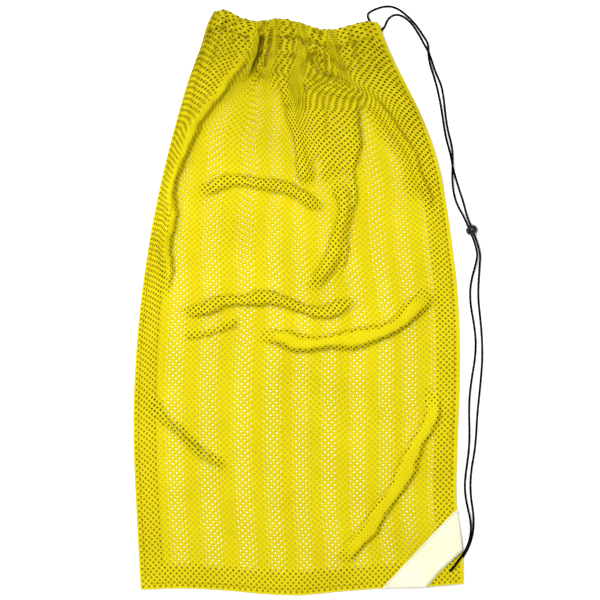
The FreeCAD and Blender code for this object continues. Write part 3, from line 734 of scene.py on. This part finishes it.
def back_hem(lie):
    def base(u, v, x, y):
        return HEM_THICK / 2 + BACK_HEM_LOW + BACK_GATHERS * gathers(u + GATHER_SHIFT, v)

    return hem("back_hem_net", lie, base, CHANNEL_ROUTE[:12], 14)


def hem_stitches(lie):
    a = np.linspace(*STITCHED_SPAN, 600)
    x, y, z, puff = hem_front(a, np.full(a.shape, STITCHED_AT), lie, front_height)
    z = z + puff + RIB_RISE - THREAD * 0.3
    return stitches("mouth_hem_stitches", np.stack([x, y, z], axis=1))


STRIP_HIGH = (0.0011, 0.0019)   # heights of the two layers of a folded allowance
STRIP_RISE = 0.006              # they rise with the hems
STRIP_SPAN = (0.90, 0.98)       # between these shares of the length
STRIP_TOP = HEM_START - 0.01    # share of the length where a side allowance ends
SIDE_GAP = 0.003                # share of the width outside a side allowance
BOTTOM_GAP = 0.001              # share of the length below the bottom one
BOTTOM_ENDS = (0.004, 0.996)    # shares of the width where the bottom one begins and ends


def side_strip(name, right, seed):
    """Seam allowance: the panels' edges folded once, between the two panels."""
    wide = SEAM_SHARE * BOTTOM_WIDE

    def to_share(column, row):
        return column * COLUMN / wide, row * ROW / BAG_TALL

    def to_space(a, b):
        inward = SEAM_SHARE * np.where(a < 1, 1 - a, a - 1)
        u = 1 - inward - SIDE_GAP if right else inward + SIDE_GAP
        x, y = plan(u, b)
        z = np.where(a < 1, *STRIP_HIGH) + corner_lift(x, y) + STRIP_RISE * between(b, *STRIP_SPAN)
        return np.stack([x, y, z], axis=1)

    limits = ((0, BOTTOM_SHARE), (2, STRIP_TOP))
    rows = (0, int(BAG_TALL / ROW) + 2)
    return net(name, (-2, int(4 * wide / COLUMN) + 4), rows, to_share, to_space, limits, seed)


def bottom_strip():
    """The bottom seam's allowance, folded once in the same way."""
    tall = BOTTOM_SHARE * BAG_TALL

    def to_share(column, row):
        return column * COLUMN / BOTTOM_WIDE, row * ROW / tall

    def to_space(a, b):
        v = BOTTOM_SHARE * np.where(b < 1, 1 - b, b - 1) + BOTTOM_GAP
        x, y = plan(a, v)
        z = np.where(b < 1, *STRIP_HIGH) + corner_lift(x, y)
        return np.stack([x, y, z], axis=1)

    rows = (-2, int(2 * tall / ROW) + 3)
    return net("bottom_strip_net", (-2, 2 * int(COLUMNS) + 4), rows, to_share, to_space,
               ((BOTTOM_ENDS[0], 0), (BOTTOM_ENDS[1], 2)), 17)


# ---- stitches ----
STITCH = 0.0032                 # length of one stitch
STITCH_GAP = 0.0010
THREAD = 0.00035                # radius of the thread in the middle of a stitch
THREAD_END = 0.35               # share of that radius at a stitch's ends
STITCH_ARCH = 0.8               # a stitch's middle rises this share of the radius
STITCH_RINGS, STITCH_SIDES = 5, 6


def tube_faces(base, rings, sides):
    """Faces of a closed tube whose rings of points start at base."""
    faces = []
    for i in range(rings - 1):
        for k in range(sides):
            a, b = base + i * sides + k, base + i * sides + (k + 1) % sides
            faces.append((a, b, b + sides, a + sides))
    last = base + (rings - 1) * sides
    return faces + [tuple(reversed(range(base, base + sides))), tuple(range(last, last + sides))]


def stitches(name, line):
    """Row of short rounded stitches along a line of points."""
    away = run_along(line)
    starts = np.arange(STITCH_GAP, away[-1] - STITCH, STITCH + STITCH_GAP)
    verts, faces = [], []
    for start in starts:
        begin, end = points_on(line, away, np.array([start, start + STITCH]))
        ahead = end - begin
        side = np.cross(ahead, (0, 0, 1))
        side /= np.linalg.norm(side)
        faces += tube_faces(len(verts), STITCH_RINGS, STITCH_SIDES)
        for t in np.linspace(0, 1, STITCH_RINGS):
            arch = max(math.sin(math.pi * t), 0)
            bulge = THREAD * (THREAD_END + (1 - THREAD_END) * arch ** 0.5)
            middle = begin + ahead * t + np.array([0, 0, THREAD * STITCH_ARCH * arch])
            for k in range(STITCH_SIDES):
                turn = 2 * math.pi * k / STITCH_SIDES
                up = np.array([0, 0, bulge * math.sin(turn)])
                verts.append(middle + side * bulge * math.cos(turn) + up)
    return new_mesh(name, verts, faces)


def seam_line(u, v):
    """Points just above the front panel, for stitches."""
    x, y = plan(u, v)
    return np.stack([x, y, front_height(u, v, x, y) + RIB_RISE + THREAD], axis=1)


# ---- the corner band ----
BAND_THICK = 0.0007
BAND_ABOVE = 0.0007             # from the front panel to the band's underside
BAND_CREASE = 0.0005            # height of its slight creases
BAND_POINTS = (90, 26)          # along it and across it
BAND_EDGE = (1 / 20, 1 / 12)    # shares of its length and width over which the edges thin out
THIN_EDGE = 0.35                # to this share of its thickness


def band_points(s, t):
    """Points of the band: s along it from the side seam, t across it from its lower edge."""
    upper, lower = smooth_line(BAND_UPPER)(s), smooth_line(BAND_LOWER)(s)
    return lower * (1 - t[..., None]) + upper * t[..., None]


def band_height(x, y):
    u, v = shares_at(x, y)
    crease = np.sin(95 * (x - y) + 2 * np.sin(40 * (x + y))) * np.sin(55 * (x + y))
    return front_height(u, v, x, y) + BAND_ABOVE + BAND_CREASE * crease


def corner_band():
    long, across = BAND_POINTS
    s, t = np.meshgrid(np.linspace(0, 1, long), np.linspace(0, 1, across), indexing="ij")
    p = band_points(s, t)
    low = band_height(p[..., 0], p[..., 1])
    edge = smooth(np.minimum(np.minimum(s, 1 - s) / BAND_EDGE[0], np.minimum(t, 1 - t) / BAND_EDGE[1]))
    top = low + BAND_THICK * (THIN_EDGE + (1 - THIN_EDGE) * edge)
    count = long * across
    flat = p.reshape(-1, 2)
    verts = np.concatenate([np.column_stack([flat, top.ravel()]), np.column_stack([flat, low.ravel()])])
    faces = []
    index = np.arange(count).reshape(long, across)
    for i in range(long - 1):
        for j in range(across - 1):
            a, b, c, d = index[i, j], index[i + 1, j], index[i + 1, j + 1], index[i, j + 1]
            faces += [(a, d, c, b), (a + count, b + count, c + count, d + count)]
    rim = [*index[:, 0], *index[-1, 1:], *index[-2::-1, -1], *index[0, -2:0:-1]]
    faces += [(a, b, b + count, a + count) for a, b in zip(rim, rim[1:] + rim[:1])]
    return new_mesh("corner_band_strip", verts, [tuple(int(k) for k in f) for f in faces])


def band_stitches():
    """One row of stitches along each long edge of the band."""
    lines = []
    for across in (0.05, 0.95):
        s = np.linspace(0.01, 0.99, 120)
        p = band_points(s, np.full(s.shape, across))
        lines.append(np.column_stack([p, band_height(p[:, 0], p[:, 1]) + BAND_THICK + THREAD * 0.5]))
    rows = [stitches("band_stitches_%d" % i, line) for i, line in enumerate(lines)]
    return join(rows, "band_stitches")


def join(pieces, name):
    """Makes one object of the pieces."""
    bpy.ops.object.select_all(action="DESELECT")
    for piece in pieces:
        piece.select_set(True)
    bpy.context.view_layer.objects.active = pieces[0]
    bpy.ops.object.join()
    pieces[0].name = name
    return pieces[0]


# ---- cords and coils ----
WHIPPING = 0.000175             # radius of the thread that joins the cord's ends
WHIPPING_STEP = 2.1 * WHIPPING  # from one turn to the next
SPRING_FOOT = -0.0060           # the spring's fixed end, along OUT
SPRING_LONG = 0.00385           # its length at rest
SPRING_WIDE = 0.0046            # its outer diameter
SPRING_TURNS = 2.5
WIRE = 0.0003                   # radius of the spring's wire
COIL_STEPS, COIL_SIDES = 16, 7  # points round a turn, and round the wire


def cord_curve(name, points):
    curve = bpy.data.curves.new(name, "CURVE")
    curve.dimensions = "3D"
    spline = curve.splines.new("NURBS")
    spline.points.add(len(points) - 1)
    for point, place in zip(spline.points, points):
        point.co = (*place, 1.0)
    spline.order_u = 3
    spline.use_endpoint_u = True
    spline.resolution_u = 8
    curve.bevel_depth = CORD_WIDE / 2
    curve.bevel_resolution = 5
    curve.use_fill_caps = True
    return new_object(name, curve)


def coil(name, path, radius, pitch, wire):
    """Round wire wound in a coil, radius from its middle, about a path of points."""
    path = np.array(path, float)
    away = run_along(path)
    at = np.linspace(0, away[-1], int(away[-1] / pitch * COIL_STEPS) + 1)
    middle = points_on(path, away, at)
    ahead = np.gradient(middle, axis=0)
    ahead /= np.linalg.norm(ahead, axis=1, keepdims=True)
    side = np.cross(ahead, (0, 0, 1))
    side /= np.linalg.norm(side, axis=1, keepdims=True)
    turn = (2 * math.pi * at / pitch)[:, None]
    out = np.cos(turn) * side + np.sin(turn) * np.cross(side, ahead)
    round_wire = 2 * math.pi * np.arange(COIL_SIDES) / COIL_SIDES
    ring = (np.cos(round_wire)[None, :, None] * out[:, None]
            + np.sin(round_wire)[None, :, None] * ahead[:, None])
    verts = (middle + out * radius)[:, None] + wire * ring
    return new_mesh(name, verts.reshape(-1, 3), tube_faces(0, len(at), COIL_SIDES))


def lock_spring():
    ends = [through_lock(SPRING_FOOT + WIRE, 0), through_lock(SPRING_FOOT + SPRING_LONG - WIRE, 0)]
    pitch = (SPRING_LONG - 2 * WIRE) / SPRING_TURNS
    return coil("cord_lock_coil", ends, SPRING_WIDE / 2 - WIRE, pitch, WIRE)


def cord_whipping():
    """Thread wound tightly round the place where the cord's two ends meet, inside the hem. It
    follows the cord's spline, which is a parabola about each point of the route."""
    before, at, after = (np.array(p) for p in CHANNEL_ROUTE[5:8])
    t = np.linspace(0.06, 0.94, 60)[:, None]
    path = ((1 - t) ** 2 * before + (1 + 2 * t - 2 * t ** 2) * at + t ** 2 * after) / 2
    return coil("drawcord_whipping", path, CORD_WIDE / 2 + WHIPPING, WHIPPING_STEP, WHIPPING)


# ---- materials ----
def set_inputs(node, inputs):
    """Sets inputs by their names, written small and with underscores."""
    for key, value in inputs.items():
        node.inputs[key.replace("_", " ").title().replace("Ior", "IOR")].default_value = value


def add(nodes, kind, **inputs):
    node = nodes.new("ShaderNode" + kind)
    set_inputs(node, inputs)
    return node


def new_material(name, colour, roughness, **settings):
    material = bpy.data.materials.new(name)
    material.use_nodes = True
    shader = material.node_tree.nodes["Principled BSDF"]
    set_inputs(shader, {"base_color": (*colour, 1), "roughness": roughness, **settings})
    return material, material.node_tree.nodes, material.node_tree.links, shader


def varied_colour(nodes, links, shader, dark, light, scale):
    """Base colour that drifts between two tones over the object."""
    place = add(nodes, "TexCoord")
    noise = add(nodes, "TexNoise", scale=scale, detail=4)
    ramp = add(nodes, "ValToRGB")
    for element, position, tone in zip(ramp.color_ramp.elements, (0.35, 0.65), (dark, light)):
        element.position = position
        element.color = (*tone, 1)
    links.new(place.outputs["Object"], noise.inputs["Vector"])
    links.new(noise.outputs["Fac"], ramp.inputs["Fac"])
    links.new(ramp.outputs["Color"], shader.inputs["Base Color"])
    return place


def scale_colour(nodes, links, shader, source, **ranges):
    """Multiplies the base colour by the source's value, mapped from one range to another."""
    tone = add(nodes, "MapRange", **ranges)
    scale = add(nodes, "VectorMath")
    scale.operation = "SCALE"
    links.new(source, tone.inputs["Value"])
    links.new(shader.inputs["Base Color"].links[0].from_socket, scale.inputs[0])
    links.new(tone.outputs["Result"], scale.inputs["Scale"])
    links.new(scale.outputs["Vector"], shader.inputs["Base Color"])


def paint_mouth_shade(nodes, links, shader, place):
    """Painted shade: darkens the colour towards the gathered mouth, standing in for the shade that lies
    over it.
    """
    towards = add(nodes, "VectorMath")
    towards.operation = "DOT_PRODUCT"
    towards.inputs[1].default_value = (0.10, 1.0, 0.0)
    links.new(place.outputs["Object"], towards.inputs[0])
    scale_colour(nodes, links, shader, towards.outputs["Value"],
                 from_min=0.15, from_max=0.36, to_min=1.0, to_max=0.75)


def open_sky(nodes, reach):
    """1 where nothing is within reach of the surface, and less where something is."""
    sky = add(nodes, "AmbientOcclusion", distance=reach)
    sky.samples = 8
    return sky.outputs["AO"]


def paint_crevice_shade(nodes, links, shader):
    """Painted shade: darkens the colour in valleys and holes, where less light gets in."""
    scale_colour(nodes, links, shader, open_sky(nodes, 0.012),
                 from_min=0.25, from_max=0.90, to_min=0.42, to_max=1.0)


def raise_grain(nodes, links, shader, height, strength, depth):
    bump = add(nodes, "Bump", strength=strength, distance=depth)
    links.new(height, bump.inputs["Height"])
    links.new(bump.outputs["Normal"], shader.inputs["Normal"])


WAVE_SCALE = 0.31               # scale at which the wave texture's step is 1


def weave_bump(nodes, links, shader, place, step, depth, strength):
    """Fine crossed threads as bump."""
    waves = []
    for direction in ("X", "Y"):
        wave = add(nodes, "TexWave", scale=WAVE_SCALE / step, distortion=1.5, detail=1)
        wave.bands_direction = direction
        links.new(place.outputs["Object"], wave.inputs["Vector"])
        waves.append(wave)
    both = add(nodes, "Math")
    both.operation = "MULTIPLY"
    links.new(waves[0].outputs["Fac"], both.inputs[0])
    links.new(waves[1].outputs["Fac"], both.inputs[1])
    raise_grain(nodes, links, shader, both.outputs[0], strength, depth)


def cloth_material(name, dark, light, step=0.0009):
    material, nodes, links, shader = new_material(name, light, 0.8, specular_ior_level=0.08)
    place = varied_colour(nodes, links, shader, dark, light, 14)
    paint_mouth_shade(nodes, links, shader, place)
    paint_crevice_shade(nodes, links, shader)
    weave_bump(nodes, links, shader, place, step, 0.00012, 0.35)
    return material


def cord_material():
    material, nodes, links, shader = new_material("braided_cord", (0.003, 0.003, 0.003), 0.9,
                                                   specular_ior_level=0.02)
    place = varied_colour(nodes, links, shader, (0.0015, 0.0015, 0.0015), (0.005, 0.005, 0.005), 900)
    weave_bump(nodes, links, shader, place, 0.0010, 0.0003, 0.7)
    return material


def plastic_material(name, colour, roughness):
    material, nodes, links, shader = new_material(name, colour, roughness, coat_weight=0.2,
                                                   coat_roughness=0.04, specular_ior_level=0.3)
    place = varied_colour(nodes, links, shader, tuple(c * 0.8 for c in colour), colour, 300)
    grain = add(nodes, "TexNoise", scale=1800)
    links.new(place.outputs["Object"], grain.inputs["Vector"])
    raise_grain(nodes, links, shader, grain.outputs["Fac"], 0.08, 0.0001)
    return material


def steel_material():
    material, nodes, links, shader = new_material("spring_steel", (0.55, 0.55, 0.57), 0.3, metallic=1.0)
    place = varied_colour(nodes, links, shader, (0.45, 0.45, 0.47), (0.62, 0.62, 0.64), 1500)
    weave_bump(nodes, links, shader, place, 0.0004, 0.00003, 0.2)
    return material


def paint(piece, material):
    piece.data.materials.clear()
    piece.data.materials.append(material)


# ---- camera, floor and light ----
VIEW_MIDDLE = (0.00207, 0.00414)  # the camera looks straight down at this place
VIEW_HIGH = 3.0                 # from this height
VIEW_WIDE = 0.8276              # and sees this width of the floor
SENSOR = 36.0                   # in millimetres, as the lens is


LIGHTS = (                      # name, place, size and power in watts
    ("key", (-0.42, 0.36, 1.9), 0.9, 39),
    ("side", (-1.5, 1.3, 1.9), 0.7, 9),
    ("fill", (1.7, -1.2, 1.6), 0.7, 5),
)


def make_camera():
    data = bpy.data.cameras.new("camera")
    data.type = "PERSP"
    data.sensor_width = SENSOR
    data.lens = SENSOR * VIEW_HIGH / VIEW_WIDE
    camera = new_object("camera", data)
    camera.location = (*VIEW_MIDDLE, VIEW_HIGH)
    bpy.context.scene.camera = camera


def area_light(name, place, size, power):
    """Square light that shines on the middle of the bag."""
    data = bpy.data.lights.new(name, "AREA")
    data.shape = "SQUARE"
    data.size = size
    data.energy = power
    light = new_object(name, data)
    light.location = place
    light.rotation_euler = (-Vector(place)).to_track_quat("-Z", "Y").to_euler()


def make_studio():
    floor_material, nodes, links, shader = new_material("studio_floor", (0.93, 0.93, 0.93), 0.9,
                                                         emission_color=(1, 1, 1, 1))
    # Painted light: the floor glows wherever nothing lies close over it, which whitens the shadows beside
    # the bag and its cord; under the bag it doesn't glow.
    glow = add(nodes, "MapRange", from_min=0.35, from_max=0.75, to_max=0.45)
    links.new(open_sky(nodes, 0.03), glow.inputs["Value"])
    links.new(glow.outputs["Result"], shader.inputs["Emission Strength"])
    bpy.ops.mesh.primitive_plane_add(size=8, location=(0, 0, 0))
    floor = bpy.context.object
    floor.name = "studio_floor"
    paint(floor, floor_material)
    world = bpy.data.worlds.new("studio")
    bpy.context.scene.world = world
    world.use_nodes = True
    set_inputs(world.node_tree.nodes["Background"], {"color": (1, 1, 1, 1), "strength": 0.26})
    for name, place, size, power in LIGHTS:
        area_light(name, place, size, power)
    bpy.context.scene.view_settings.view_transform = "Standard"


# ---- the whole bag ----
STITCH_LINES = (                # name, place across or up the bag, and from where to where
    ("left", 0.0165, 0.016, HEM_START - 0.004, 700),
    ("right", 0.9835, 0.18, HEM_START - 0.004, 600),
    ("bottom", 0.0095, 0.035, 0.70, 500),
)


def seam_stitches():
    rows = []
    for name, place, start, end, count in STITCH_LINES:
        along = np.linspace(start, end, count)
        fixed = np.full(count, place)
        line = seam_line(along, fixed) if name == "bottom" else seam_line(fixed, along)
        rows.append(stitches(name + "_seam_stitches", line))
    return rows


def dress(piece, material, node, body="bag"):
    paint(piece, material)
    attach(piece, body)
    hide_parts(node)


def main():
    make_camera()
    cord = cord_curve("drawcord", FREE_ROUTE)
    channel = cord_curve("drawcord_in_hems", CHANNEL_ROUTE)
    make_studio()

    flat, lie = lay(), lay(front_height)
    front, back = front_panel(lie), back_panel(lie)
    front_edge, back_edge = front_hem(lie), back_hem(flat)
    left = side_strip("left_strip_net", False, 15)
    right = side_strip("right_strip_net", True, 16)
    bottom = bottom_strip()
    left_thread, right_thread, bottom_thread = seam_stitches()
    hem_thread = hem_stitches(lie)
    band, band_thread = corner_band(), band_stitches()
    spring, whipping = lock_spring(), cord_whipping()

    yellow = cloth_material("yellow_net", (0.690, 0.575, 0.0030), (0.750, 0.636, 0.0045))
    # Painted shade: the back net is a darker copy of the yellow net, for the shade it lies in under the
    # front.
    shaded_back = cloth_material("back_net", (0.620, 0.500, 0.0030), (0.680, 0.560, 0.0040))
    # Painted shade: the seam allowances are a darker, more orange copy of the net, for the shade between
    # the stacked layers.
    shaded = cloth_material("shaded_seam_net", (0.500, 0.350, 0.0020), (0.580, 0.425, 0.0030))
    cream = cloth_material("cream_twill", (0.880, 0.865, 0.600), (0.950, 0.940, 0.720), 0.0006)
    cream_thread = cloth_material("cream_thread", (0.72, 0.70, 0.48), (0.78, 0.76, 0.56), 0.0005)
    thread = cloth_material("yellow_thread", (0.60, 0.44, 0.004), (0.68, 0.52, 0.006), 0.0005)
    black = cord_material()
    nodes = frame["nodes"]
    paint(nodes["cord_lock_body"], plastic_material("lock_plastic", (0.014, 0.013, 0.015), 0.14))
    paint(nodes["cord_lock_plunger"], plastic_material("plunger_plastic", (0.012, 0.012, 0.013), 0.25))

    dress(front, yellow, "front_mesh_panel")
    dress(back, shaded_back, "back_mesh_panel")
    dress(front_edge, yellow, "front_mouth_hem")
    dress(back_edge, yellow, "back_mouth_hem")
    dress(left, shaded, "left_side_seam")
    dress(right, shaded, "right_side_seam")
    dress(bottom, shaded, "bottom_seam")
    dress(left_thread, thread, "left_seam_thread")
    dress(right_thread, thread, "right_seam_thread")
    dress(bottom_thread, thread, "bottom_seam_thread")
    dress(hem_thread, thread, "mouth_hem_thread")
    dress(band, cream, "corner_band")
    dress(band_thread, cream_thread, "corner_band_thread")
    dress(cord, black, "drawcord_free_run")
    dress(channel, black, "drawcord_channel_run")
    dress(whipping, black, "drawcord_join")
    dress(spring, steel_material(), "cord_lock_spring", "cord_lock")
    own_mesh(spring)


main()
